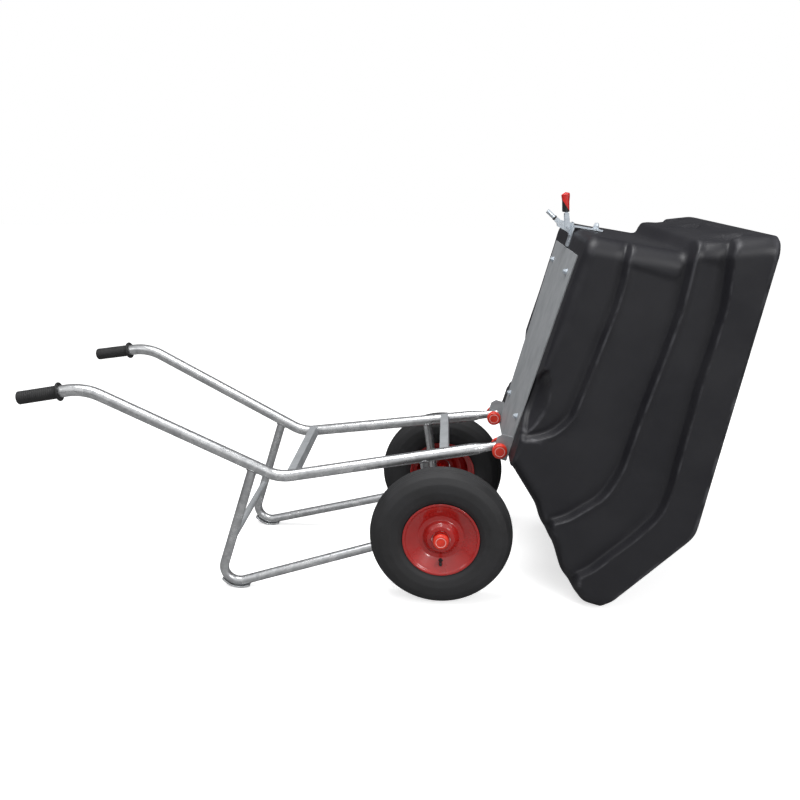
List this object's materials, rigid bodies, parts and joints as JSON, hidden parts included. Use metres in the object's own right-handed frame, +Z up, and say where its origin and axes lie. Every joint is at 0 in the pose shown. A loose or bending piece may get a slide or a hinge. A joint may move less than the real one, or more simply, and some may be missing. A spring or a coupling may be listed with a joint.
{
  "type": "tipping garden cart",
  "caption": "Garden cart with a bent steel tube frame, pneumatic wheels and a stepped plastic tub that tips forward on pivot bolts, with a toggle clamp to lock it down.",
  "frame": {"origin": "on the ground, at the middle of the bounding box's base, with the tub tipped and its nose on the ground", "axes": "+X towards the tub's nose, away from the handles; +Y to the cart's left; +Z up"},
  "size_m": [1.9624, 0.7828, 1.1256],
  "materials": {
    "galvanised_tube": "hot-dip galvanised, bright and mottled",
    "galvanised_sheet": "galvanised sheet, dull",
    "zinc": "bright zinc plated",
    "steel": "bare machined steel",
    "grip_rubber": "matte black rubber",
    "tyre": "matte tyre rubber",
    "red_paint": "gloss red paint",
    "red_plastic": "satin orange-red plastic",
    "tub_plastic": "satin charcoal moulded polyethylene, fine grain"
  },
  "bodies": {
    "frame": {"main_tube_right": "galvanised_tube", "grip_right": "grip_rubber", "leg_loop_right": "galvanised_tube", "foot_skid_right": "galvanised_tube", "axle_collar_right": "steel", "axle_washer_right": "zinc", "hub_cap_right": "red_plastic", "pivot_bolt_right": "zinc", "pivot_spacer_right": "grip_rubber", "pivot_nut_right": "zinc", "pivot_cap_outer_right": "red_plastic", "pivot_cap_inner_right": "red_plastic", "main_tube_left": "galvanised_tube", "grip_left": "grip_rubber", "leg_loop_left": "galvanised_tube", "foot_skid_left": "galvanised_tube", "axle_collar_left": "steel", "axle_washer_left": "zinc", "hub_cap_left": "red_plastic", "pivot_bolt_left": "zinc", "pivot_spacer_left": "grip_rubber", "pivot_nut_left": "zinc", "pivot_cap_outer_left": "red_plastic", "pivot_cap_inner_left": "red_plastic", "rear_cross_member": "galvanised_sheet", "front_cross_member": "galvanised_sheet", "leg_cross_bar": "galvanised_sheet", "axle": "steel"},
    "wheel_right": {"tyre_right": "tyre", "rim_right": "red_paint", "hub_right": "red_paint", "outer_bearing_right": "steel", "inner_bearing_right": "steel", "valve_right": "grip_rubber"},
    "wheel_left": {"tyre_left": "tyre", "rim_left": "red_paint", "hub_left": "red_paint", "outer_bearing_left": "steel", "inner_bearing_left": "steel", "valve_left": "grip_rubber"},
    "tub_body": {"tub": "tub_plastic", "support_plate": "galvanised_sheet", "plate_bolt_front_right": "zinc", "plate_bolt_front_left": "zinc", "plate_bolt_rear_right": "zinc", "plate_bolt_rear_left": "zinc", "plate_nut_front_right": "zinc", "plate_nut_front_left": "zinc", "plate_nut_rear_right": "zinc", "plate_nut_rear_left": "zinc", "latch_bracket": "zinc", "bracket_bolt": "zinc", "bracket_dome_nut": "zinc", "clamp_base": "zinc", "clamp_arm_pin": "steel", "clamp_handle_pin": "steel"},
    "clamp_arm_body": {"clamp_arm": "zinc", "clamp_arm_ring": "grip_rubber"},
    "clamp_handle_body": {"clamp_handle": "zinc", "clamp_grip": "red_plastic"}
  },
  "joints": [
    {"name": "tub_tip", "type": "hinge", "parent": "frame", "child": "tub_body", "pos_m": [0.34515, 0, 0.4245], "axis": [0, -1, 0], "range_deg": [0, 113.7]},
    {"name": "wheel_right_spin", "type": "hinge", "parent": "frame", "child": "wheel_right", "pos_m": [0.18515, -0.2635, 0.2], "axis": [0, 1, 0], "continuous": true},
    {"name": "wheel_left_spin", "type": "hinge", "parent": "frame", "child": "wheel_left", "pos_m": [0.18515, 0.2635, 0.2], "axis": [0, 1, 0], "continuous": true},
    {"name": "clamp_handle_turn", "type": "hinge", "parent": "tub_body", "child": "clamp_handle_body", "pos_m": [0.52438, 0, 1.02961], "axis": [0, -1, 0], "range_deg": [0, 70.8]},
    {"name": "clamp_arm_swing", "type": "hinge", "parent": "tub_body", "child": "clamp_arm_body", "pos_m": [0.50451, 0, 1.04031], "axis": [0, -1, 0], "range_deg": [0, 116.4]}
  ],
  "couplings": [
    {"joint": "clamp_arm_swing", "follows": "clamp_handle_turn", "ratio": 1.644}
  ]
}
